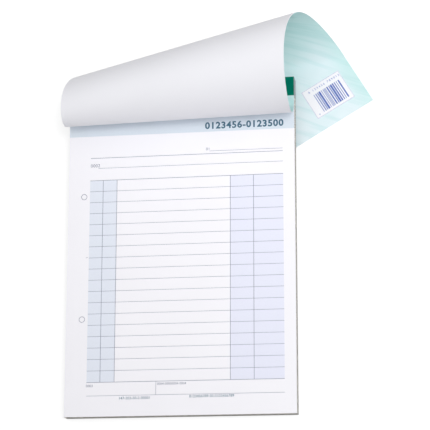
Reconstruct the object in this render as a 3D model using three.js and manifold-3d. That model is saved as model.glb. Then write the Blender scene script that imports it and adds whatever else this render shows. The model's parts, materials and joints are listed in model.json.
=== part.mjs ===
// Delivery note book: a top-bound pad of two-part forms on a grey board, with a card cover
// that is rolled back over the binding and tucked under the pad.
// Millimetres, +X across the page to the right, +Y up the page to the binding, +Z up.

import * as THREE from "three";
import Module from "manifold-3d";
import { mergeVertices } from "three/addons/utils/BufferGeometryUtils.js";

const wasm = await Module();
wasm.setup();

// Page and binding
const pageWidth = 147;
const padLength = 216;
const stubDepth = 12.3;
const perforationGap = 0.3;

// Forms: each set is a top sheet and its self-copying second sheet
const setCount = 50;
const sheetsPerSet = 2;
const looseSets = 5;
const setsPerBundle = 5;
const sheetThickness = 0.07;
const airGap = 0.01;

// Board, tape and card
const boardThickness = 1;
const tapeThickness = 0.2;
const tapeSlack = 0.05;
const tapeEndSlack = 0.1;
const cardThickness = 0.3;
const cardLift = 0.15;

// The foot of the pad lies on the table, and the roll behind it holds up the binding.
// This is the angle, in degrees, between the pad and the table.
const padTiltAngle = 0.95;

// Binding staples, of flat wire
const stapleSpacing = 80;
const stapleWidth = 13;
const stapleWire = 0.5;
const stapleClinch = 4;
const stapleInset = 6;
const staplePocket = 0.15;
const stapleSink = 0.05;

// Cover: its free edge stops just short of the page's foot when it is closed
const coverShortfall = 0.2;
const foldCount = 24;
const foldSlot = 0.3;

// Roll of the cover, as rigid strips between fold lines that fan out to the right.
// The fan is the ratio of a strip's width on the left to its width on the right,
// a cubic along the roll that is never narrower than the least ratio.
const lastFoldOnRight = 172;
const fanRatioNearCrease = 1.727;
const fanRatios = [-2.71, 5.03, -2.61];
const leastFanRatio = 0.18;

// Bend at each fold in degrees: an even part, a swell round the loop,
// and two tighter stretches at the crease and behind the pad.
const creaseAngle = 10.17;
const evenBendAngle = 2.3;
const loopBendAngle = 13.09;
const creaseBendAngle = 29.4;
const creaseReachRatio = 0.145;
const tuckBendAngle = 22;
const tuckReachRatio = 0.1;

// Heights and lengths that follow
const sheetPitch = sheetThickness + airGap;
const boardBottom = 0;
const boardTop = boardBottom + boardThickness;
const pageTop = boardTop + sheetsPerSet * setCount * sheetPitch;
const creaseY = padLength - stubDepth;
const cardBottom = pageTop + cardLift;
const cardTop = cardBottom + cardThickness;
const creaseZ = cardBottom + cardThickness / 2;
const coverLength = creaseY - coverShortfall;
const sheetLength = creaseY - perforationGap;
const acrossPage = new THREE.Vector3(1, 0, 0);
const padTilt = THREE.MathUtils.degToRad(padTiltAngle);
const restingTurn = new THREE.Quaternion().setFromAxisAngle(acrossPage, padTilt);

function finish(color, roughness) {
  return new THREE.MeshStandardMaterial({ color, roughness, metalness: 0 });
}

const topPaper = finish(0xfbf8fd, 0.85);
const copyPaper = finish(0xf6efdc, 0.85);
const bundledPaper = finish(0xe9e6e2, 0.9);
const greyBoard = finish(0x9a9b98, 0.9);
const greenCloth = finish(0x00695a, 0.7);
const mintCard = finish(0xd6eff2, 0.6);
const steelWire = new THREE.MeshStandardMaterial({ color: 0xb8babd, roughness: 0.35, metalness: 1 });

function named(name, geometry, material) {
  const mesh = new THREE.Mesh(geometry, material);
  mesh.name = name;
  return mesh;
}

// Box between two corners
function block(low, high) {
  const size = high.map((value, axis) => value - low[axis]);
  const geometry = new THREE.BoxGeometry(...size);
  return geometry.translate(...low.map((value, axis) => value + size[axis] / 2));
}

function toManifold(geometry) {
  const bare = geometry.clone();
  bare.deleteAttribute("normal");
  bare.deleteAttribute("uv");
  const merged = mergeVertices(bare);
  return new wasm.Manifold(new wasm.Mesh({
    numProp: 3,
    vertProperties: new Float32Array(merged.attributes.position.array),
    triVerts: new Uint32Array(merged.index.array),
  }));
}

function fromManifold(solid) {
  const mesh = solid.getMesh();
  const geometry = new THREE.BufferGeometry();
  geometry.setAttribute("position", new THREE.BufferAttribute(mesh.vertProperties, 3));
  geometry.setIndex(new THREE.BufferAttribute(mesh.triVerts, 1));
  return geometry;
}

// Tear-off sheets

// A stack of sheets whose top face is depthInPad sheets below the page's top
function sheetStack(name, depthInPad, sheets, material) {
  const thickness = sheets * sheetPitch - airGap;
  const mesh = named(name, block([0, 0, 0], [pageWidth, sheetLength, thickness]), material);
  mesh.position.z = pageTop - depthInPad * sheetPitch - thickness;
  return mesh;
}

function twoDigits(number) {
  return String(number).padStart(2, "0");
}

function makeForms() {
  const forms = new THREE.Group();
  for (let set = 1; set <= looseSets; set += 1) {
    const depth = sheetsPerSet * (set - 1);
    forms.add(sheetStack(`set_${twoDigits(set)}_original`, depth, 1, topPaper));
    forms.add(sheetStack(`set_${twoDigits(set)}_copy`, depth + 1, 1, copyPaper));
  }
  for (let first = looseSets + 1; first <= setCount; first += setsPerBundle) {
    const last = Math.min(first + setsPerBundle - 1, setCount);
    const sheets = sheetsPerSet * (last - first + 1);
    const name = `sets_${twoDigits(first)}_to_${twoDigits(last)}`;
    forms.add(sheetStack(name, sheetsPerSet * (first - 1), sheets, bundledPaper));
  }
  return forms;
}

// Staples, their pockets, and the pieces that they hold

// One staple seen along Y: a crown on top, two legs, and ends clinched inwards below
function stapleOutline(margin) {
  const outer = stapleWidth / 2 + margin;
  const inner = stapleWidth / 2 - stapleWire - margin;
  const clinchEnd = stapleWidth / 2 - stapleClinch - margin;
  const top = pageTop - stapleSink + margin;
  const underCrown = pageTop - stapleSink - stapleWire - margin;
  const bottom = boardBottom + stapleSink - margin;
  const overClinch = boardBottom + stapleSink + stapleWire + margin;
  const outline = new THREE.Shape();
  outline.moveTo(-outer, top);
  outline.lineTo(-outer, bottom);
  outline.lineTo(-clinchEnd, bottom);
  outline.lineTo(-clinchEnd, overClinch);
  outline.lineTo(-inner, overClinch);
  outline.lineTo(-inner, underCrown);
  outline.lineTo(inner, underCrown);
  outline.lineTo(inner, overClinch);
  outline.lineTo(clinchEnd, overClinch);
  outline.lineTo(clinchEnd, bottom);
  outline.lineTo(outer, bottom);
  outline.lineTo(outer, top);
  outline.closePath();
  return outline;
}

function stapleSolid(side, margin) {
  const depth = stapleWire + 2 * margin;
  const geometry = new THREE.ExtrudeGeometry(stapleOutline(margin), { depth, bevelEnabled: false });
  geometry.rotateX(Math.PI / 2);
  const x = pageWidth / 2 + (side * stapleSpacing) / 2;
  const y = padLength - stapleInset + depth / 2;
  return geometry.translate(x, y, 0);
}

function cutStaplePockets(geometry) {
  let solid = toManifold(geometry);
  for (const side of [-1, 1]) {
    solid = solid.subtract(toManifold(stapleSolid(side, staplePocket)));
  }
  return fromManifold(solid);
}

function makeBinding() {
  const binding = new THREE.Group();
  const board = block([0, 0, boardBottom], [pageWidth, padLength, boardTop]);
  binding.add(named("back_board", cutStaplePockets(board), greyBoard));
  const stubs = block([0, creaseY, boardTop + airGap], [pageWidth, padLength, pageTop]);
  binding.add(named("stub_block", cutStaplePockets(stubs), bundledPaper));
  binding.add(named("staple_left", stapleSolid(-1, 0), steelWire));
  binding.add(named("staple_right", stapleSolid(1, 0), steelWire));
  const coverStub = block([0, creaseY + foldSlot / 2, cardBottom], [pageWidth, padLength, cardTop]);
  binding.add(named("cover_stub", coverStub, mintCard));
  binding.add(makeTape());
  return binding;
}

// Cloth tape folded round the top edge, as a U seen along X
function makeTape() {
  const insideTop = cardTop + tapeSlack;
  const insideBottom = boardBottom - tapeSlack;
  const insideEnd = padLength + tapeEndSlack;
  const outline = new THREE.Shape();
  outline.moveTo(creaseY, insideTop);
  outline.lineTo(insideEnd, insideTop);
  outline.lineTo(insideEnd, insideBottom);
  outline.lineTo(creaseY, insideBottom);
  outline.lineTo(creaseY, insideBottom - tapeThickness);
  outline.lineTo(insideEnd + tapeThickness, insideBottom - tapeThickness);
  outline.lineTo(insideEnd + tapeThickness, insideTop + tapeThickness);
  outline.lineTo(creaseY, insideTop + tapeThickness);
  outline.closePath();
  const geometry = new THREE.ExtrudeGeometry(outline, { depth: pageWidth, bevelEnabled: false });
  // The outline's X and Y become the part's Y and Z, and its depth runs along X
  geometry.applyMatrix4(new THREE.Matrix4().set(0, 0, 1, 0, 1, 0, 0, 0, 0, 1, 0, 0, 0, 0, 0, 1));
  return named("binding_tape", geometry, greenCloth);
}

// The cover's fold lines. On the flat sheet the crease lies along X and the sheet runs
// along -Y; a fold line joins a point on the left edge to a point on the right edge.

function fanAt(share, near) {
  const rest = 1 - share;
  const [second, third, fourth] = fanRatios;
  const cubic = near * rest ** 3 + 3 * second * rest ** 2 * share
    + 3 * third * rest * share ** 2 + fourth * share ** 3;
  return Math.max(cubic, leastFanRatio);
}

function bendAt(share, loop) {
  const crease = creaseBendAngle * Math.exp(-((share / creaseReachRatio) ** 2));
  const tuck = tuckBendAngle * Math.exp(-(((1 - share) / tuckReachRatio) ** 2));
  return evenBendAngle + loop * Math.sin(Math.PI * share) ** 2 + crease + tuck;
}

// Fold 0 is the crease. Each fold has its distance down the left and right edges,
// and the angle by which it bends the sheet.
function foldLines([first, loop, near]) {
  const folds = [{ left: 0, right: 0, angle: THREE.MathUtils.degToRad(first) }];
  const step = lastFoldOnRight / foldCount;
  for (let fold = 1; fold <= foldCount; fold += 1) {
    const middle = (fold - 0.5) / foldCount;
    folds.push({
      left: folds[fold - 1].left + step * fanAt(middle, near),
      right: fold * step,
      angle: THREE.MathUtils.degToRad(bendAt(middle, loop)),
    });
  }
  return folds;
}

function foldDirection(fold) {
  return new THREE.Vector3(pageWidth, fold.left - fold.right, 0).normalize();
}

// How far the free end is from lying flat on the table: its tilt both ways and its height
function endError(unknowns) {
  const turn = restingTurn.clone();
  const place = new THREE.Vector3(0, creaseY, creaseZ).applyQuaternion(turn);
  let left = 0;
  for (const fold of foldLines(unknowns)) {
    place.add(new THREE.Vector3(0, left - fold.left, 0).applyQuaternion(turn));
    turn.multiply(new THREE.Quaternion().setFromAxisAngle(foldDirection(fold), -fold.angle));
    left = fold.left;
  }
  const normal = new THREE.Vector3(0, 0, 1).applyQuaternion(turn);
  return [normal.x, normal.y, (place.z - cardThickness / 2) / pageWidth];
}

// Newton's method on three unknowns: the crease's angle, the swell of the loop's bend
// and the fan beside the crease, so that the tucked end lies flat on the table
function solveRoll() {
  const rounds = 40;
  const nudge = 1e-5;
  let unknowns = [creaseAngle, loopBendAngle, fanRatioNearCrease];
  for (let round = 0; round < rounds; round += 1) {
    const error = endError(unknowns);
    const slopes = unknowns.map((value, index) => {
      const moved = unknowns.slice();
      moved[index] = value + nudge;
      return endError(moved).map((entry, row) => (entry - error[row]) / nudge);
    });
    const matrix = new THREE.Matrix3().set(
      slopes[0][0], slopes[1][0], slopes[2][0],
      slopes[0][1], slopes[1][1], slopes[2][1],
      slopes[0][2], slopes[1][2], slopes[2][2],
    ).invert();
    const step = new THREE.Vector3(...error).applyMatrix3(matrix);
    unknowns = [unknowns[0] - step.x, unknowns[1] - step.y, unknowns[2] - step.z];
  }
  return foldLines(unknowns);
}

// Flat strip of card between two lines across the sheet, in the frame of its first fold.
// Each line is [distance down the left edge, distance down the right edge].
function cardStrip(start, end, origin) {
  const corner = (x, distance) => [x, origin - distance];
  const corners = [
    corner(0, end[0]),
    corner(pageWidth, end[1]),
    corner(pageWidth, start[1]),
    corner(0, start[0]),
  ];
  const outline = new THREE.Shape(corners.map(([x, y]) => new THREE.Vector2(x, y)));
  const geometry = new THREE.ExtrudeGeometry(outline, { depth: cardThickness, bevelEnabled: false });
  return geometry.translate(0, 0, -cardThickness / 2);
}

// A fold line moved down or up the sheet by half a slot, square to itself
function besideFold(fold, side) {
  const slope = Math.hypot(1, (fold.right - fold.left) / pageWidth);
  const shift = (side * foldSlot * slope) / 2;
  return [fold.left + shift, fold.right + shift];
}

function makeCover() {
  const folds = solveRoll();
  const cover = new THREE.Group();
  cover.position.set(0, creaseY, creaseZ);
  let carrier = cover;
  let left = 0;
  folds.forEach((fold, index) => {
    const isEnd = index === foldCount;
    const pivot = new THREE.Group();
    pivot.position.y = left - fold.left;
    pivot.quaternion.setFromAxisAngle(foldDirection(fold), -fold.angle);
    const end = isEnd ? [coverLength, coverLength] : besideFold(folds[index + 1], -1);
    const geometry = cardStrip(besideFold(fold, 1), end, fold.left);
    const name = isEnd ? "cover_end" : `cover_strip_${twoDigits(index + 1)}`;
    pivot.add(named(name, geometry, mintCard));
    carrier.add(pivot);
    carrier = pivot;
    left = fold.left;
  });
  return cover;
}

// The whole book, with its origin on the table under the middle of its outline
const book = new THREE.Group();
book.add(makeBinding(), makeForms(), makeCover());
book.quaternion.copy(restingTurn);
book.updateMatrixWorld(true);
const extent = new THREE.Box3().setFromObject(book, true);
const middle = extent.getCenter(new THREE.Vector3());
book.position.set(-middle.x, -middle.y, -extent.min.z);

const deliveryNoteBook = new THREE.Group();
deliveryNoteBook.add(book);

export default deliveryNoteBook;
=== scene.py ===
"""A delivery note book with its card cover rolled back over the binding."""
import json
import math

import bpy
import numpy as np
from mathutils import Matrix, Vector


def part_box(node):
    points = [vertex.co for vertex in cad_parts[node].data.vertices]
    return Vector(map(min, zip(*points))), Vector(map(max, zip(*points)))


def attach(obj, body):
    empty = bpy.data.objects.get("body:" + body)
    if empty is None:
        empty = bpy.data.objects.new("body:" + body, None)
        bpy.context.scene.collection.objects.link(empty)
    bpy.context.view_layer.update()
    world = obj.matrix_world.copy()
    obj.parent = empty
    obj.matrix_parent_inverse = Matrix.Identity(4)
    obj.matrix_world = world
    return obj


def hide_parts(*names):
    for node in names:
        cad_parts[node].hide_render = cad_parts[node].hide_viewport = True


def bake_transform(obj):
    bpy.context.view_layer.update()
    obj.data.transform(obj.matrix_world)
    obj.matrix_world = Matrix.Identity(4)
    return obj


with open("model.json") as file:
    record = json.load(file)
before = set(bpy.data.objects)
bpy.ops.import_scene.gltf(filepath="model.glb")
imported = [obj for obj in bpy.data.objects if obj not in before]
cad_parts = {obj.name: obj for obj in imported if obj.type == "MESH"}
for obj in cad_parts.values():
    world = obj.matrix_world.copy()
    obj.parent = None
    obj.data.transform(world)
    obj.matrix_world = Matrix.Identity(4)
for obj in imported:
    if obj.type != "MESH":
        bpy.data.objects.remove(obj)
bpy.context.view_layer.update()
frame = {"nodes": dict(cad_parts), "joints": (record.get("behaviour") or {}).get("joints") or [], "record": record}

# Real sizes, in millimetres
MM = 0.001
PAGE_WIDTH = 147.0
PAD_LENGTH = 216.0
STUB_DEPTH = 12.3
PERFORATION_GAP = 0.3
BOARD_THICKNESS = 1.0
SHEET_THICKNESS = 0.07
SHEET_PITCH = 0.08
SET_COUNT = 50
SHEETS_PER_SET = 2
LOOSE_SETS = 5
SETS_PER_BUNDLE = 5
CARD_THICKNESS = 0.3
CARD_LIFT = 0.15
TAPE_THICKNESS = 0.2
TAPE_SLACK = 0.05
TAPE_END_SLACK = 0.1
PAD_TILT = math.radians(0.95)

CREASE_Y = PAD_LENGTH - STUB_DEPTH
SHEET_TOP_Y = CREASE_Y - PERFORATION_GAP
PAGE_TOP = BOARD_THICKNESS + SET_COUNT * SHEETS_PER_SET * SHEET_PITCH
CARD_TOP = PAGE_TOP + CARD_LIFT + CARD_THICKNESS

# Camera, in metres
CAMERA_PLACE = (0.165526, -0.269798, 1.049394)
CAMERA_RIGHT = (0.987331, 0.004254, -0.158619)
CAMERA_UP = (0.035595, 0.968227, 0.247524)
CAMERA_VIEW = (-0.154633, 0.250035, -0.955810)
CAMERA_LENS = 143.27
CAMERA_SENSOR = 36.0


def linear(value):
    value /= 255
    return value / 12.92 if value <= 0.04045 else ((value + 0.055) / 1.055) ** 2.4


def colour(red, green, blue):
    return (linear(red), linear(green), linear(blue), 1.0)


def make_camera():
    data = bpy.data.cameras.new("camera")
    data.lens = CAMERA_LENS
    data.sensor_width = CAMERA_SENSOR
    camera = bpy.data.objects.new("camera", data)
    bpy.context.scene.collection.objects.link(camera)
    axes = Matrix((CAMERA_RIGHT, CAMERA_UP, [-value for value in CAMERA_VIEW])).transposed()
    camera.matrix_world = Matrix.Translation(CAMERA_PLACE) @ axes.to_4x4()
    bpy.context.scene.camera = camera


# Materials

WHITE = (1, 1, 1, 1)


def add_node(tree, kind, inputs, **settings):
    """A new node with its settings; each input is linked from a socket or set to a value."""
    made = tree.nodes.new(kind)
    for key, value in settings.items():
        setattr(made, key, value)
    for key, value in inputs.items():
        if isinstance(value, bpy.types.NodeSocket):
            tree.links.new(value, made.inputs[key])
        else:
            made.inputs[key].default_value = value
    return made


class Finish:
    """A material with one principled shader and the noise that varies it."""

    def __init__(self, name, base, roughness, **sockets):
        self.material = bpy.data.materials.new(name)
        self.material.use_nodes = True
        self.tree = self.material.node_tree
        self.shader = self.tree.nodes["Principled BSDF"]
        self.shader.inputs["Base Color"].default_value = base
        self.shader.inputs["Roughness"].default_value = roughness
        for socket, value in sockets.items():
            self.shader.inputs[socket.replace("_", " ")].default_value = value

    def node(self, kind, inputs, **settings):
        return add_node(self.tree, kind, inputs, **settings)

    def link(self, value, socket):
        self.tree.links.new(value, self.shader.inputs[socket])

    def place(self, scale=(1, 1, 1), turn=(0, 0, 0), attribute=None):
        """Places on the object, or in an attribute of its points, scaled and then turned."""
        if attribute:
            source = self.node("ShaderNodeAttribute", {}, attribute_name=attribute).outputs["Vector"]
        else:
            source = self.node("ShaderNodeTexCoord", {}).outputs["Object"]
        inputs = {"Vector": source, "Scale": scale, "Rotation": turn}
        return self.node("ShaderNodeMapping", inputs).outputs["Vector"]

    def drawn_out(self, stretch, turn, attribute):
        """Places on a sheet, drawn out along a line that lies at an angle to its sides."""
        source = self.place(attribute=attribute)
        inputs = {"Vector": source, "Scale": (1, stretch, 1), "Rotation": (0, 0, turn)}
        return self.node("ShaderNodeMapping", inputs, vector_type="TEXTURE").outputs["Vector"]

    def noise(self, scale, detail, roughness=0.5, place=None):
        inputs = {"Vector": place or self.place(), "Scale": scale, "Detail": detail}
        return self.node("ShaderNodeTexNoise", {**inputs, "Roughness": roughness}).outputs["Fac"]

    def wave(self, scale, direction, distortion, place=None):
        inputs = {"Vector": place or self.place(), "Scale": scale, "Distortion": distortion}
        return self.node("ShaderNodeTexWave", inputs, bands_direction=direction).outputs["Fac"]

    def ramp(self, factor, low, high, start=0.3, end=0.7):
        """Colour or grey level that goes from low to high while the factor goes from start to end."""
        made = self.node("ShaderNodeValToRGB", {"Fac": factor})
        for element, position, value in zip(made.color_ramp.elements, (start, end), (low, high)):
            element.position = position
            element.color = value if isinstance(value, tuple) else (value, value, value, 1)
        return made.outputs["Color"]

    def fade(self, value, start, end):
        """Smooth step from nought at start to one at end."""
        inputs = {"Value": value, "From Min": start, "From Max": end}
        return self.node("ShaderNodeMapRange", inputs, interpolation_type="SMOOTHSTEP").outputs["Result"]

    def mix(self, factor, first, second, blend="MIX"):
        inputs = {0: factor, 6: first, 7: second}
        return self.node("ShaderNodeMix", inputs, data_type="RGBA", blend_type=blend).outputs[2]

    def paint(self, value):
        self.link(value, "Base Color")
        return self

    def bump(self, height, depth, strength):
        """Relief of a depth in metres, on top of the relief that is there already."""
        inputs = {"Height": height, "Distance": depth, "Strength": strength}
        before = self.shader.inputs["Normal"].links
        if before:
            inputs["Normal"] = before[0].from_socket
        self.link(self.node("ShaderNodeBump", inputs).outputs["Normal"], "Normal")
        return self


def shade(base, factor):
    """The colour made darker or lighter."""
    return tuple(min(1.0, value * factor) for value in base[:3]) + (1.0,)


def paper(name, base, roughness=0.8):
    """Uncoated sheet: faint clouding of the pulp and a fine fibre tooth."""
    finish = Finish(name, base, roughness, Specular_IOR_Level=0.3)
    cloud = finish.ramp(finish.noise(45, detail=3), shade(base, 0.985), base)
    along_fibres = finish.place(scale=(1, 2.4, 1), turn=(0, 0, 0.3))
    fibre = finish.noise(1700, detail=4, roughness=0.7, place=along_fibres)
    finish.paint(finish.mix(0.025, cloud, finish.ramp(fibre, 0.0, 1.0), "SOFT_LIGHT"))
    return finish.bump(fibre, depth=0.00002, strength=0.35)


def cut_edges(name, base, gap):
    """The cut sides of stacked sheets, with dark lines between them."""
    finish = Finish(name, base, 0.9, Specular_IOR_Level=0.2)
    along_sheets = finish.place(scale=(0.002, 0.002, 1), turn=(PAD_TILT, 0, 0))
    layers = finish.noise(9000, detail=2, roughness=0.6, place=along_sheets)
    lines = finish.ramp(layers, gap, base, start=0.35, end=0.6)
    runs = finish.noise(60, detail=3, roughness=0.6, place=finish.place(scale=(1, 1, 40)))
    rubbed = finish.ramp(runs, shade(base, 0.75), base)
    finish.paint(finish.mix(0.25, lines, rubbed, "MULTIPLY"))
    return finish.bump(layers, depth=0.00003, strength=0.6)


def board():
    """Unlined grey board: mottled pulp with dark flecks and short fibres."""
    base = colour(138, 140, 139)
    finish = Finish("grey_board", base, 0.9, Specular_IOR_Level=0.2)
    mottle = finish.noise(180, detail=5, roughness=0.65)
    cloud = finish.ramp(mottle, shade(base, 0.82), shade(base, 1.1))
    flecks = finish.ramp(finish.noise(1500, detail=2, roughness=0.4), 0.0, 1.0, start=0.66, end=0.72)
    flecked = finish.mix(flecks, cloud, colour(92, 92, 90))
    along_fibres = finish.place(scale=(1, 3, 1), turn=(0, 0, 0.6))
    fibres = finish.noise(900, detail=5, roughness=0.7, place=along_fibres)
    finish.paint(finish.mix(0.25, flecked, finish.ramp(fibres, 0.2, 0.8), "SOFT_LIGHT"))
    return finish.bump(fibres, depth=0.00005, strength=0.6)


def card_grain(finish):
    """Adds the fine grain of coated card."""
    return finish.bump(finish.noise(1400, detail=3, roughness=0.6), depth=0.00001, strength=0.3)


def card_inside():
    """White satin side of the cover, very slightly rippled."""
    base = colour(246, 246, 251)
    finish = Finish("card_white", base, 0.5, Specular_IOR_Level=0.35)
    across_roll = finish.place(scale=(0.35, 1.6, 1), attribute="sheet")
    ripple = finish.noise(22, detail=2, roughness=0.4, place=across_roll)
    finish.paint(finish.ramp(finish.noise(30, detail=3), shade(base, 0.985), base))
    finish.bump(ripple, depth=0.0006, strength=0.35)
    return card_grain(finish)


# Where the mint side's painted shade fades out, in millimetres along the cover from its crease and
# across it from its middle; towards the fold and the sides the mint is painted darker and greener as shade inside
# the roll
SHADE_FADE_START = 128.0
SHADE_FADE_END = 170.0
UNSHADED_HALF_WIDTH = 58.0


def card_outside():
    """Mint side of the cover, in fine streaks of its own tint, with painted shade: darker and greener towards the
    fold and the sides, inside the roll.
    """
    pale = colour(234, 246, 251)
    shaded_mint = colour(214, 241, 242)
    finish = Finish("card_mint", pale, 0.45, Specular_IOR_Level=0.4)
    on_sheet = finish.place(attribute="sheet")
    along = finish.node("ShaderNodeSeparateXYZ", {"Vector": on_sheet}).outputs
    half = PAGE_WIDTH * MM / 2
    outward = finish.node("ShaderNodeMath", {0: along["X"], 1: half}, operation="SUBTRACT").outputs[0]
    spread = finish.node("ShaderNodeMath", {0: outward}, operation="ABSOLUTE").outputs[0]
    # Painted shade: darker, greener mint towards the fold and the sides, for the shaded inside of the roll
    from_fold = finish.fade(along["Y"], SHADE_FADE_START * MM, SHADE_FADE_END * MM)
    from_side = finish.fade(spread, half, UNSHADED_HALF_WIDTH * MM)
    painted_shade = finish.mix(from_fold, shaded_mint, finish.mix(from_side, shaded_mint, pale))
    broad = finish.noise(34, detail=2, place=finish.drawn_out(stretch=5, turn=0.9, attribute="sheet"))
    cloud = finish.ramp(broad, colour(244, 251, 250), WHITE, start=0.35, end=0.65)
    fine = finish.noise(260, detail=2, place=finish.drawn_out(stretch=14, turn=-0.66, attribute="sheet"))
    streak = finish.ramp(fine, colour(196, 232, 230), WHITE, start=0.36, end=0.52)
    clouded = finish.mix(1.0, painted_shade, cloud, "MULTIPLY")
    finish.paint(finish.mix(0.25, clouded, streak, "MULTIPLY"))
    return card_grain(finish)


def cloth():
    """Coated binding cloth: a fine over and under weave under a dull coat."""
    base = colour(0, 122, 100)
    threads = 700
    waviness = 0.3
    finish = Finish("green_cloth", base, 0.8, Specular_IOR_Level=0.03)
    warp = finish.wave(threads, "X", waviness)
    weft = finish.wave(threads, "Y", waviness, finish.place(turn=(-PAD_TILT, 0, 0)))
    weave = finish.mix(0.5, warp, weft, "MULTIPLY")
    patches = finish.noise(120, detail=4, roughness=0.6)
    tone = finish.ramp(patches, shade(base, 0.85), shade(base, 1.12))
    finish.paint(finish.mix(0.2, tone, weave, "OVERLAY"))
    return finish.bump(weave, depth=0.00006, strength=0.7)


def ink(name, base, variation=0.06):
    """Printing ink, slightly uneven where the sheet took less of it."""
    finish = Finish(name, base, 0.75, Specular_IOR_Level=0.3)
    uneven = finish.noise(900, detail=3, roughness=0.6)
    return finish.paint(finish.ramp(uneven, shade(base, 1 - variation), shade(base, 1 + variation)))


def wire():
    """Bright drawn wire with fine marks along its length."""
    base = colour(190, 192, 196)
    finish = Finish("staple_steel", base, 0.32, Metallic=1.0)
    marks = finish.noise(2500, detail=3, roughness=0.6, place=finish.place(scale=(0.1, 1, 1)))
    finish.paint(finish.ramp(marks, shade(base, 0.85), base))
    return finish.bump(marks, depth=0.00001, strength=0.4)


FORM_PAPER = paper("form_paper", colour(250, 249, 254)).material
COPY_PAPER = paper("copy_paper", colour(249, 243, 226)).material
# Painted shade: the cut sides of the forms and copies are painted mid grey, far darker than their paper, for the
# pad's sides that face away from the light
FORM_EDGE_PAINTED_SHADE = cut_edges("form_edge_painted_shade", colour(122, 125, 130), colour(80, 82, 86)).material
COPY_EDGE_PAINTED_SHADE = cut_edges("copy_edge_painted_shade", colour(122, 122, 121), colour(80, 80, 78)).material
STUB_EDGE = cut_edges("stub_edge", colour(178, 180, 184), colour(140, 141, 144)).material
GREY_BOARD = board().material
CARD_WHITE = card_inside().material
CARD_MINT = card_outside().material
GREEN_CLOTH = cloth().material
STAPLE_STEEL = wire().material
INK_BAND = ink("ink_band", colour(220, 229, 238), 0.012).material
INK_TINT_LEFT = ink("ink_tint_left", colour(230, 235, 246), 0.012).material
INK_TINT_RIGHT = ink("ink_tint_right", colour(234, 236, 251), 0.010).material
INK_LINE = ink("ink_line", colour(138, 142, 160)).material
INK_HEADING = ink("ink_heading", colour(66, 106, 128)).material
INK_LABEL = ink("ink_label", colour(88, 112, 188)).material
LABEL_PAPER = paper("label_paper", colour(252, 250, 255), 0.6).material


# Meshes

def tilt_point(x, y, z):
    """A point of the pad, in millimetres from the board's near left corner, in the frame's metres."""
    return Vector((
        ORIGIN.x + x * MM,
        ORIGIN.y + (y * math.cos(PAD_TILT) - z * math.sin(PAD_TILT)) * MM,
        ORIGIN.z + (y * math.sin(PAD_TILT) + z * math.cos(PAD_TILT)) * MM,
    ))


BOARD_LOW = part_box("back_board")[0]
ORIGIN = Vector((BOARD_LOW.x, BOARD_LOW.y + BOARD_THICKNESS * MM * math.sin(PAD_TILT), BOARD_LOW.z))


def piece(name, points, faces, materials, body, indices=None, smooth=False):
    """A mesh piece that rides on a body, if one is named. indices gives the material of each face."""
    mesh = bpy.data.meshes.new(name)
    mesh.from_pydata([tuple(point) for point in points], [], faces)
    for entry in materials:
        mesh.materials.append(entry)
    if indices is not None:
        mesh.polygons.foreach_set("material_index", indices)
    mesh.polygons.foreach_set("use_smooth", [smooth] * len(mesh.polygons))
    mesh.update()
    made = bpy.data.objects.new(name, mesh)
    bpy.context.scene.collection.objects.link(made)
    if body:
        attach(made, body)
    return made


BOX_FACES = ((0, 3, 2, 1), (4, 5, 6, 7), (0, 1, 5, 4), (1, 2, 6, 5), (2, 3, 7, 6), (3, 0, 4, 7))


def slabs(name, boxes, materials, indices=None, place=tilt_point, body="pad"):
    """Flat blocks in one piece; each is (x0, y0, z0, x1, y1, z1) in the pad's millimetres."""
    points = []
    faces = []
    for x0, y0, z0, x1, y1, z1 in boxes:
        first = len(points)
        for z in (z0, z1):
            points += [place(x0, y0, z), place(x1, y0, z), place(x1, y1, z), place(x0, y1, z)]
        faces += [tuple(first + corner for corner in face) for face in BOX_FACES]
    return piece(name, points, faces, materials, body, indices)


def dress(node, material):
    """Gives a node of the frame its material."""
    target = frame["nodes"][node]
    target.data.materials.clear()
    target.data.materials.append(material)


# The bundles of forms, with every sheet of paper lying a little out of line

BUNDLE_SEED = 11
DRAW_IN = 0.03


def make_bundles():
    random = np.random.default_rng(BUNDLE_SEED)
    for first in range(LOOSE_SETS + 1, SET_COUNT + 1, SETS_PER_BUNDLE):
        last = min(first + SETS_PER_BUNDLE - 1, SET_COUNT)
        boxes = []
        indices = []
        for depth in range(SHEETS_PER_SET * (first - 1), SHEETS_PER_SET * last):
            left, right, foot = random.uniform(0, DRAW_IN, 3)
            top = PAGE_TOP - depth * SHEET_PITCH
            boxes.append((left, foot, top - SHEET_THICKNESS, PAGE_WIDTH - right, SHEET_TOP_Y, top))
            face = 2 * (depth % SHEETS_PER_SET)
            edge = face + 1
            indices += [face, face] + [edge] * 4
        materials = (FORM_PAPER, FORM_EDGE_PAINTED_SHADE, COPY_PAPER, COPY_EDGE_PAINTED_SHADE)
        made = slabs(f"forms_{first:02d}_to_{last:02d}", boxes, materials, indices)
        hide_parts(f"sets_{first:02d}_to_{last:02d}")


# The printed form

TABLE_LEFT = 14.3
TABLE_RIGHT = 139.6
TABLE_TOP = 152.35
TABLE_FOOT = 21.5
TABLE_ROWS = 18
COLUMNS = (TABLE_LEFT, 22.9, 32.0, 105.7, 120.6, TABLE_RIGHT)
BAND_FOOT = 182.0
SIGN_FOOT = 13.0
SIGN_DIVIDER = 58.65
PRINT_INSET = 0.02
THIN_LINE = 0.24
BOLD_LINE = 0.32
# Height up the page, left end, right end and width of each line over the table
HEAD_LINES = (
    (169.1, 92.2, 139.4, THIN_LINE),
    (167.3, 14.4, 139.4, BOLD_LINE),
    (160.5, 19.5, 139.5, THIN_LINE),
)
CENTRE_MARK = (12.2, 13.8)
RING_PITCH = 80.0
RING_X = 10.5
RING_OUTER = 1.95
RING_LINE = 0.32
RING_SEGMENTS = 40
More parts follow.
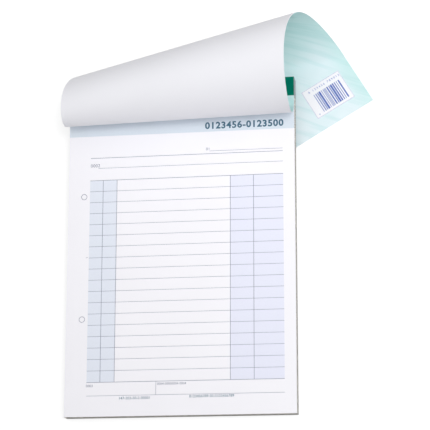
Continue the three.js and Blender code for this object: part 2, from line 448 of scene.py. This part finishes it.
# Where the ink's lower and upper faces lie over the board's underside
TINT_LEVEL = (PAGE_TOP + 0.002, PAGE_TOP + 0.008)
LINE_LEVEL = (PAGE_TOP + 0.002, PAGE_TOP + 0.014)
DIGIT_LEVEL = PAGE_TOP + 0.009


def tint_box(x0, y0, x1, y1):
    """A tinted field between two corners."""
    return (x0, y0, TINT_LEVEL[0], x1, y1, TINT_LEVEL[1])


def across(y, x0, x1, width):
    """A line across the page."""
    return (x0, y - width / 2, LINE_LEVEL[0], x1, y + width / 2, LINE_LEVEL[1])


def down(x, y0, y1, width):
    """A line up the page."""
    return (x - width / 2, y0, LINE_LEVEL[0], x + width / 2, y1, LINE_LEVEL[1])


def make_form():
    band = tint_box(PRINT_INSET, BAND_FOOT, PAGE_WIDTH - PRINT_INSET, SHEET_TOP_Y - PRINT_INSET)
    slabs("print_band", [band], (INK_BAND,))
    for label, ink_used, start, end in (("left", INK_TINT_LEFT, 0, 2), ("right", INK_TINT_RIGHT, 3, 5)):
        tint = tint_box(COLUMNS[start], TABLE_FOOT, COLUMNS[end], TABLE_TOP)
        slabs(f"print_tint_{label}", [tint], (ink_used,))
    pitch = (TABLE_TOP - TABLE_FOOT) / TABLE_ROWS
    rows = [TABLE_FOOT + pitch * row for row in range(1, TABLE_ROWS)]
    lines = [across(y, TABLE_LEFT, TABLE_RIGHT, THIN_LINE) for y in rows]
    lines += [across(y, TABLE_LEFT, TABLE_RIGHT, BOLD_LINE) for y in (TABLE_FOOT, TABLE_TOP)]
    lines += [down(x, TABLE_FOOT, TABLE_TOP, BOLD_LINE) for x in COLUMNS[1:-1]]
    lines += [across(*line) for line in HEAD_LINES]
    lines += [across(SIGN_FOOT, TABLE_LEFT, TABLE_RIGHT, THIN_LINE)]
    lines += [down(SIGN_DIVIDER, SIGN_FOOT, TABLE_FOOT, THIN_LINE)]
    lines += [across(SHEET_TOP_Y / 2, *CENTRE_MARK, THIN_LINE)]
    slabs("print_lines", lines, (INK_LINE,))


def ring(x, y):
    """A thin grey circle as a flat closed ring; gives its points and faces."""
    points = []
    for z in LINE_LEVEL:
        for radius in (RING_OUTER, RING_OUTER - RING_LINE):
            for step in range(RING_SEGMENTS):
                angle = 2 * math.pi * step / RING_SEGMENTS
                points.append(tilt_point(x + radius * math.cos(angle), y + radius * math.sin(angle), z))
    low_out, low_in, high_out, high_in = (level * RING_SEGMENTS for level in range(4))
    faces = []
    for step in range(RING_SEGMENTS):
        after = (step + 1) % RING_SEGMENTS
        faces.append((low_out + step, low_in + step, low_in + after, low_out + after))
        faces.append((high_out + step, high_out + after, high_in + after, high_in + step))
        faces.append((low_out + step, low_out + after, high_out + after, high_out + step))
        faces.append((low_in + after, low_in + step, high_in + step, high_in + after))
    return points, faces


def make_rings():
    for label, side in (("lower", -1), ("upper", 1)):
        points, faces = ring(RING_X, SHEET_TOP_Y / 2 + side * RING_PITCH / 2)
        piece(f"ring_mark_{label}", points, faces, (INK_LINE,), "pad")


# How high a digit of the font stands when its size is one
DIGIT_HEIGHT = 0.73
DIGIT_THICKNESS = 0.01
DIGIT_RESOLUTION = 4
PAGE_TURN = Matrix.Rotation(PAD_TILT, 4, "X")


def numbers(name, text, place, height, material, body, squeeze=1.0, weight=0.0, spacing=1.0):
    """Plain digits as thin solid letters. place is a matrix whose X runs along the line and Z is up."""
    data = bpy.data.curves.new(name, "FONT")
    data.body = text
    data.size = height * MM / DIGIT_HEIGHT
    data.offset = weight * MM
    data.extrude = DIGIT_THICKNESS * MM / 2
    data.space_character = spacing
    data.resolution_u = DIGIT_RESOLUTION
    written = bpy.data.objects.new(name, data)
    bpy.context.scene.collection.objects.link(written)
    bpy.context.view_layer.update()
    mesh = bpy.data.meshes.new_from_object(written.evaluated_get(bpy.context.evaluated_depsgraph_get()))
    bpy.data.objects.remove(written)
    mesh.transform(place @ Matrix.Diagonal((squeeze, 1, 1, 1)))
    mesh.materials.clear()
    mesh.materials.append(material)
    made = bpy.data.objects.new(name, mesh)
    bpy.context.scene.collection.objects.link(made)
    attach(made, body)


HEADING = "0123456-0123500"
HEADING_PLACE = (89.3, 184.0)
HEADING_HEIGHT = 4.4
# Name, digits, left end and foot on the page, height and ink of each small line of digits
SMALL_NUMBERS = (
    ("print_field_1", "01", 89.9, 169.6, 1.9, INK_LINE),
    ("print_field_2", "0002", 14.4, 161.3, 2.2, INK_LINE),
    ("print_field_3", "0003", 13.9, 18.6, 1.6, INK_LINE),
    ("print_field_4", "0004 00000004 0004", 59.4, 19.2, 1.5, INK_LINE),
    ("print_foot_left", "147-203-50-2 00001", 35.0, 10.5, 1.7, INK_HEADING),
    ("print_foot_right", "0123456789 00 0123456789", 79.8, 10.9, 1.7, INK_HEADING),
)


def on_page(x, y):
    return Matrix.Translation(tilt_point(x, y, DIGIT_LEVEL)) @ PAGE_TURN


def make_numbers():
    numbers("print_heading", HEADING, on_page(*HEADING_PLACE), HEADING_HEIGHT, INK_HEADING, "pad",
            squeeze=1.04, weight=0.20, spacing=1.11)
    for name, text, x, y, height, ink_used in SMALL_NUMBERS:
        numbers(name, text, on_page(x, y), height, ink_used, "pad", weight=0.02, spacing=1.05)


# Binding tape, folded round the top edge with soft corners

TAPE_CORNER = 0.25
TAPE_COLUMNS = 60
TAPE_CORNER_STEPS = 6
TAPE_SHARP = math.radians(35)


def arc(centre, radius, start, end):
    """Points on a circle from one angle to another, in degrees."""
    y, z = centre
    shares = [step / TAPE_CORNER_STEPS for step in range(TAPE_CORNER_STEPS + 1)]
    angles = [math.radians(start + (end - start) * share) for share in shares]
    return [(y + radius * math.cos(angle), z + radius * math.sin(angle)) for angle in angles]


def tape_profile():
    """The tape seen from its end: points of its outside, and of its inside the other way round."""
    high = CARD_TOP + TAPE_SLACK
    low = -TAPE_SLACK
    end = PAD_LENGTH + TAPE_END_SLACK
    outer = TAPE_CORNER + TAPE_THICKNESS
    upper = (end - TAPE_CORNER, high - TAPE_CORNER)
    lower = (end - TAPE_CORNER, low + TAPE_CORNER)
    outside = [(CREASE_Y, high + TAPE_THICKNESS)]
    outside += arc(upper, outer, 90, 0) + arc(lower, outer, 0, -90)
    outside += [(CREASE_Y, low - TAPE_THICKNESS)]
    inside = [(CREASE_Y, low)]
    inside += arc(lower, TAPE_CORNER, -90, 0) + arc(upper, TAPE_CORNER, 0, 90)
    inside += [(CREASE_Y, high)]
    return outside, inside


def make_tape():
    outside, inside = tape_profile()
    profile = outside + inside
    count = len(profile)
    points = []
    for column in range(TAPE_COLUMNS + 1):
        x = PAGE_WIDTH * column / TAPE_COLUMNS
        points += [tilt_point(x, y, z) for y, z in profile]
    faces = []
    for here in range(0, TAPE_COLUMNS * count, count):
        for index in range(count):
            after = (index + 1) % count
            faces.append((here + index, here + after, here + count + after, here + count + index))
    for first, turn in ((0, 1), (TAPE_COLUMNS * count, -1)):
        for index in range(len(outside) - 1):
            last = first + count - 1 - index
            corners = (first + index, first + index + 1, last - 1, last)
            faces.append(corners[::-1] if turn > 0 else corners)
    made = piece("binding_cloth", points, faces, (GREEN_CLOTH,), "pad", smooth=True)
    made.data.set_sharp_from_angle(angle=TAPE_SHARP)
    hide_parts("binding_tape")


# The cover as one smooth sheet, in pieces that each reach across one of the cover's joints.
# Its shape runs through the lines where the solids of the cover fold.

SAME_POINT = 0.005
CARD_SHARP = math.radians(40)
# How far from its fold line a bend zone reaches, at least
LEAST_REACH = 0.6


def unique_points(node):
    """Corner points of a node, each once."""
    found = []
    for vertex in frame["nodes"][node].data.vertices:
        if all((vertex.co - other).length > SAME_POINT * MM for other in found):
            found.append(vertex.co.copy())
    return found


def edge_middles(four):
    """Middles of the two short upright edges among four corner points."""
    pairings = (((0, 1), (2, 3)), ((0, 2), (1, 3)), ((0, 3), (1, 2)))
    best = min(pairings, key=lambda pairs: sum((four[a] - four[b]).length for a, b in pairs))
    return [(four[a] + four[b]) / 2 for a, b in best]


def strip_ends(node, before):
    """Start and end of a strip's left and right edges, the start being nearer to before."""
    points = sorted(unique_points(node), key=lambda point: point.x)
    sides = zip((points[:4], points[4:]), before)
    return [sorted(edge_middles(side), key=lambda middle: (middle - near).length) for side, near in sides]


def cover_nodes():
    """Names of the cover's moving solids from the crease to the free edge, by body."""
    members = frame["record"]["behaviour"]["bodies"]
    order = [joint["child"] for joint in frame["joints"]]
    return [(body, members[body]) for body in order]


def fold_lines():
    """Middles of the stub's back edge, of each fold line and of the free edge, left and right."""
    middle = PAGE_TOP + CARD_LIFT + CARD_THICKNESS / 2
    back, crease = [[tilt_point(x, y, middle) for x in (0, PAGE_WIDTH)] for y in (PAD_LENGTH, CREASE_Y)]
    lines = [back, crease]
    before = crease
    ends = None
    for _, members in cover_nodes():
        for node in members:
            (left_start, left_end), (right_start, right_end) = strip_ends(node, before)
            if ends:
                lines.append([(ends[0] + left_start) / 2, (ends[1] + right_start) / 2])
            ends = [left_end, right_end]
            before = ends
    lines.append(ends)
    return lines


class Edge:
    """A smooth curve through one side of the fold lines, straight at the stub and after the last fold."""

    def __init__(self, points):
        self.back, *bend, self.end = [np.array(point) for point in points]
        self.bend = np.array(bend)
        count = len(bend)
        first = self.unit(self.bend[0] - self.back) * np.linalg.norm(self.bend[1] - self.bend[0])
        last = self.unit(self.end - self.bend[-1]) * np.linalg.norm(self.bend[-1] - self.bend[-2])
        matrix = np.eye(count) * 4
        right = np.zeros((count, 3))
        for row in range(1, count - 1):
            matrix[row, row - 1] = matrix[row, row + 1] = 1
            right[row] = 3 * (self.bend[row + 1] - self.bend[row - 1])
        matrix[0, 0] = matrix[-1, -1] = 1
        right[0] = first
        right[-1] = last
        self.slope = np.linalg.solve(matrix, right)
        self.folds = count - 1

    @staticmethod
    def unit(vector):
        return vector / np.linalg.norm(vector)

    def at(self, place):
        """Point and direction at a place, counted in folds: -1 is the stub's back, 0 the crease."""
        if place <= 0:
            step = self.bend[0] - self.back
            return self.bend[0] + place * step, self.unit(step)
        if place >= self.folds:
            step = self.end - self.bend[-1]
            return self.bend[-1] + (place - self.folds) * step, self.unit(step)
        index = min(int(place), self.folds - 1)
        share = place - index
        a, b = self.bend[index:index + 2]
        slope_a, slope_b = self.slope[index:index + 2]
        point = (2 * share**3 - 3 * share**2 + 1) * a + (share**3 - 2 * share**2 + share) * slope_a
        point += (3 * share**2 - 2 * share**3) * b + (share**3 - share**2) * slope_b
        slope = (6 * share**2 - 6 * share) * (a - b) + (3 * share**2 - 4 * share + 1) * slope_a
        slope += (3 * share**2 - 2 * share) * slope_b
        return point, self.unit(slope)


# How the sheet is divided: across, between folds, after the last fold and before the crease
COLUMNS_ACROSS = 24
ROWS_PER_FOLD = 8
END_ROWS = (0.01, 0.02, 0.03, 0.045, 0.06, 0.08, 0.11, 0.15, 0.2, 0.28, 0.38, 0.5, 0.62, 0.74, 0.87, 1.0)
STUB_ROWS = (-1.0, -0.5, -0.25, -0.1)


def row_places(start, end, folds):
    """The places along the cover at which one of its pieces has a row of points."""
    places = [place for place in STUB_ROWS if start <= place < 0]
    low = max(start, 0)
    high = min(end, folds)
    steps = max(1, round((high - low) * ROWS_PER_FOLD))
    places += [low + (high - low) * step / steps for step in range(steps + 1)]
    places += [folds + share for share in END_ROWS if folds + share <= end]
    return places


def sheet_faces(rows, columns):
    """Faces of a closed sheet of two layers of points, and 0 for each mint face and 1 for each white."""
    width = columns + 1
    count = rows * width
    faces = []
    indices = []
    for row in range(rows - 1):
        for column in range(columns):
            corner = row * width + column
            quad = (corner, corner + width, corner + width + 1, corner + 1)
            faces += [quad, tuple(count + index for index in quad[::-1])]
            indices += [0, 1]
    rim = list(range(width))
    rim += [row * width + columns for row in range(1, rows)]
    rim += [(rows - 1) * width + column for column in range(columns - 1, -1, -1)]
    rim += [row * width for row in range(rows - 2, 0, -1)]
    for corner, after in zip(rim, rim[1:] + rim[:1]):
        faces.append((corner, after, count + after, count + corner))
        indices.append(1)
    return faces, indices


def sheet_points(edges, places, travel):
    """Points on both faces of the card, row by row, and where each lies on the flat sheet."""
    left, right = edges
    top = []
    bottom = []
    flat = []
    for place in places:
        left_point, left_way = left.at(place)
        right_point, right_way = right.at(place)
        for column in range(COLUMNS_ACROSS + 1):
            share = column / COLUMNS_ACROSS
            way = left_way * (1 - share) + right_way * share
            normal = np.cross(way, right_point - left_point)
            normal *= CARD_THICKNESS * MM / 2 / np.linalg.norm(normal)
            point = left_point * (1 - share) + right_point * share
            top.append(point + normal)
            bottom.append(point - normal)
            flat.append((share * PAGE_WIDTH * MM, travel(place, share) * MM, 0))
    return top + bottom, flat + flat


def skin_piece(name, edges, start, end, travel):
    """One piece of the cover between two places along it: a closed sheet, white on the inner side."""
    places = row_places(start, end, edges[0].folds)
    points, flat = sheet_points(edges, places, travel)
    faces, indices = sheet_faces(len(places), COLUMNS_ACROSS)
    made = piece(name, points, faces, (CARD_MINT, CARD_WHITE), None, indices, smooth=True)
    on_sheet = made.data.attributes.new("sheet", "FLOAT_VECTOR", "POINT")
    on_sheet.data.foreach_set("vector", np.array(flat, np.float32).ravel())
    made.data.set_sharp_from_angle(angle=CARD_SHARP)
    return made


def bend_zone(edges, start, fold, end):
    """The middle of a fold line, the way square to it and how far from it a bend could reach, clear of both cut
    lines.
    """
    left, right = edges
    middle = (left.at(fold)[0] + right.at(fold)[0]) / 2
    axis = Edge.unit(right.at(fold)[0] - left.at(fold)[0])
    way = left.at(fold)[1] + right.at(fold)[1]
    way = Edge.unit(way - axis * np.dot(way, axis))
    reach = min(
        min(np.dot(middle - edge.at(start)[0], way) for edge in edges),
        min(np.dot(edge.at(end)[0] - middle, way) for edge in edges),
    )
    return middle, way, max(reach, LEAST_REACH * MM)


def sheet_travel(lines):
    """Function that gives the millimetres along the flat sheet of a place and a share of the width."""
    marks = [[0.0], [0.0]]
    for line, before in zip(lines[2:], lines[1:]):
        for side in (0, 1):
            marks[side].append(marks[side][-1] + (line[side] - before[side]).length / MM)

    def travel(place, share):
        if place <= 0:
            return place * STUB_DEPTH
        left, right = [np.interp(place, range(len(mark)), mark) for mark in marks]
        return left * (1 - share) + right * share

    return travel


def make_cover():
    lines = fold_lines()
    edges = [Edge([line[side] for line in lines]) for side in (0, 1)]
    travel = sheet_travel(lines)
    bodies = cover_nodes()
    starts = [0]
    for _, members in bodies:
        starts.append(starts[-1] + len(members))
    cuts = [(starts[index] + starts[index + 1]) / 2 for index in range(len(bodies) - 1)]
    cuts = [-1.0] + cuts + [edges[0].folds + 1.0]
    for index, (body, members) in enumerate(bodies):
        start, end = cuts[index:index + 2]
        made = skin_piece(f"cover_sheet_{index + 1:02d}", edges, start, end, travel)
        middle, way, reach = bend_zone(edges, start, starts[index], end)
        low = middle - way * reach
        if index == 0:
            low = middle
        tuple(low)
        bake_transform(made)
        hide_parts(*members)
        if index == 0:
            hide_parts("cover_stub")
    return edges


# Stock label near the free corner of the cover, measured from it along and back from the free edge

LABEL_SIDE = 8.7
LABEL_FOOT = 8.6
LABEL_RIGHT = 36.5
LABEL_HEAD = 29.7
LABEL_LEVEL = (0.004, 0.06)
LABEL_INK_LEVEL = (0.061, 0.070)
LABEL_INSET = 0.15
LABEL_RULE = 0.12
# Left, foot, right and head of the field of bars and of the dot
LABEL_BARS = (11.6, 10.6, 31.6, 24.1)
LABEL_DOT = (33.5, 10.4, 34.1, 11.0)
BAR_SEED = 5
BAR_WIDTHS = (0.4, 0.6, 0.9, 1.2)
BAR_GAPS = (0.4, 0.7, 0.9)
LABEL_DIGITS = (32.6, 26.3)
LABEL_DIGIT_HEIGHT = 1.5
LABEL_DIGIT_SPACING = 1.6


def label_axes(edges):
    """The cover's free right corner, on its upper face, and the ways along the free edge, back and up."""
    left, right = [edge.at(edge.folds + 1)[0] for edge in edges]
    along = Vector(Edge.unit(left - right))
    up = Vector((0, 0, 1))
    corner = Vector(right) + up * CARD_THICKNESS * MM / 2
    return corner, along, along.cross(up), up


def label_border():
    """A frame of four thin lines, as flat boxes."""
    low, high = LABEL_INK_LEVEL
    x0, y0 = LABEL_SIDE + LABEL_INSET, LABEL_FOOT + LABEL_INSET
    x1, y1 = LABEL_RIGHT - LABEL_INSET, LABEL_HEAD - LABEL_INSET
    return [
        (x0, y0, low, x1, y0 + LABEL_RULE, high),
        (x0, y1 - LABEL_RULE, low, x1, y1, high),
        (x0, y0 + LABEL_RULE, low, x0 + LABEL_RULE, y1 - LABEL_RULE, high),
        (x1 - LABEL_RULE, y0 + LABEL_RULE, low, x1, y1 - LABEL_RULE, high),
    ]


def label_bars():
    """Bars of random widths, and a dot, as flat boxes."""
    random = np.random.default_rng(BAR_SEED)
    low, high = LABEL_INK_LEVEL
    x, foot, end, head = LABEL_BARS
    bars = []
    while x < end - max(BAR_WIDTHS):
        bar = float(random.choice(BAR_WIDTHS))
        bars.append((x, foot, low, x + bar, head, high))
        x += bar + float(random.choice(BAR_GAPS))
    x0, y0, x1, y1 = LABEL_DOT
    return bars + [(x0, y0, low, x1, y1, high)]


def make_label(edges):
    corner, along, back, up = label_axes(edges)

    def on_cover(x, y, z):
        return corner + (along * x + back * y + up * z) * MM

    low, high = LABEL_LEVEL
    parts = (
        ("paper", [(LABEL_SIDE, LABEL_FOOT, low, LABEL_RIGHT, LABEL_HEAD, high)], LABEL_PAPER),
        ("border", label_border(), INK_LABEL),
        ("bars", label_bars(), INK_LABEL),
    )
    for part, boxes, material in parts:
        slabs(f"label_{part}", boxes, (material,), place=on_cover, body="cover_end")
    row = Matrix((-along, back, up)).transposed().to_4x4()
    row.translation = on_cover(*LABEL_DIGITS, sum(LABEL_INK_LEVEL) / 2)
    numbers("label_digits", "0 123456 789012", row, LABEL_DIGIT_HEIGHT, INK_LABEL, "cover_end",
            spacing=LABEL_DIGIT_SPACING)


# Table, light and world

def show_white(tree):
    """One where the camera, or a glossy or clear surface, looks, and nought elsewhere."""
    path = add_node(tree, "ShaderNodeLightPath", {}).outputs
    seen = path["Is Camera Ray"]
    for way in ("Is Glossy Ray", "Is Transmission Ray"):
        seen = add_node(tree, "ShaderNodeMath", {0: seen, 1: path[way]}, operation="MAXIMUM").outputs[0]
    return seen


# Sizes and places in metres, powers in watts
FLOOR_DROP = 0.00005
FLOOR_REACH = 6.0
FLOOR_LIFT = 0.65
KEY_POWER = 22.0
KEY_RADIUS = 0.25
KEY_CONE = math.radians(28)
KEY_AIM = (0.04, 0.08, 0.02)
KEY_PLACE = (0.43, 0.015, 1.255)
PANEL_POWER = 2.6
PANEL_SIZE = 0.5
PANEL_PLACE = (0.80, -0.10, 0.42)
PANEL_AIM = (0.0, 0.0, 0.0)
SKY_LOW = 0.0
SKY_HIGH = 1.02


def make_table():
    mesh = bpy.data.meshes.new("table")
    corners = [(-FLOOR_REACH, -FLOOR_REACH), (FLOOR_REACH, -FLOOR_REACH)]
    corners += [(FLOOR_REACH, FLOOR_REACH), (-FLOOR_REACH, FLOOR_REACH)]
    mesh.from_pydata([(x, y, -FLOOR_DROP) for x, y in corners], [], [(0, 1, 2, 3)])
    table = bpy.data.objects.new("table", mesh)
    bpy.context.scene.collection.objects.link(table)
    top = Finish("table_top", colour(190, 190, 190), 0.9)
    lift = top.node("ShaderNodeMath", {0: show_white(top.tree), 1: FLOOR_LIFT}, operation="MULTIPLY")
    top.shader.inputs["Emission Color"].default_value = WHITE
    top.link(lift.outputs[0], "Emission Strength")
    mesh.materials.append(top.material)


def make_lamps():
    key = bpy.data.lights.new("key", "SPOT")
    key.energy = KEY_POWER
    key.shadow_soft_size = KEY_RADIUS
    key.spot_size = KEY_CONE
    key.spot_blend = 1.0
    panel = bpy.data.lights.new("panel", "AREA")
    panel.energy = PANEL_POWER
    panel.size = PANEL_SIZE
    for light, place, aim in ((key, KEY_PLACE, KEY_AIM), (panel, PANEL_PLACE, PANEL_AIM)):
        lamp = bpy.data.objects.new(light.name, light)
        bpy.context.scene.collection.objects.link(lamp)
        lamp.location = place
        lamp.rotation_mode = "QUATERNION"
        lamp.rotation_quaternion = (Vector(place) - Vector(aim)).to_track_quat("Z", "Y")


def make_sky():
    """White where it is seen; elsewhere light that fades from overhead to below."""
    world = bpy.data.worlds.new("studio")
    bpy.context.scene.world = world
    world.use_nodes = True
    tree = world.node_tree
    background = tree.nodes["Background"]
    background.inputs["Color"].default_value = WHITE
    way = add_node(tree, "ShaderNodeTexCoord", {}).outputs["Generated"]
    height = add_node(tree, "ShaderNodeSeparateXYZ", {"Vector": way}).outputs["Z"]
    sky = add_node(tree, "ShaderNodeMapRange", {"Value": height, "To Min": SKY_LOW, "To Max": SKY_HIGH})
    level = add_node(tree, "ShaderNodeMix", {0: show_white(tree), 2: sky.outputs["Result"], 3: 1.0})
    tree.links.new(level.outputs[0], background.inputs["Strength"])


def make_stage():
    make_table()
    make_lamps()
    make_sky()
    bpy.context.scene.view_settings.view_transform = "Standard"


def dress_nodes():
    dress("back_board", GREY_BOARD)
    dress("stub_block", STUB_EDGE)
    for side in ("left", "right"):
        dress(f"staple_{side}", STAPLE_STEEL)
    for number in range(1, LOOSE_SETS + 1):
        dress(f"set_{number:02d}_original", FORM_PAPER)
        dress(f"set_{number:02d}_copy", COPY_PAPER)


make_camera()
make_stage()
dress_nodes()
make_bundles()
make_form()
make_rings()
make_numbers()
make_tape()
make_label(make_cover())
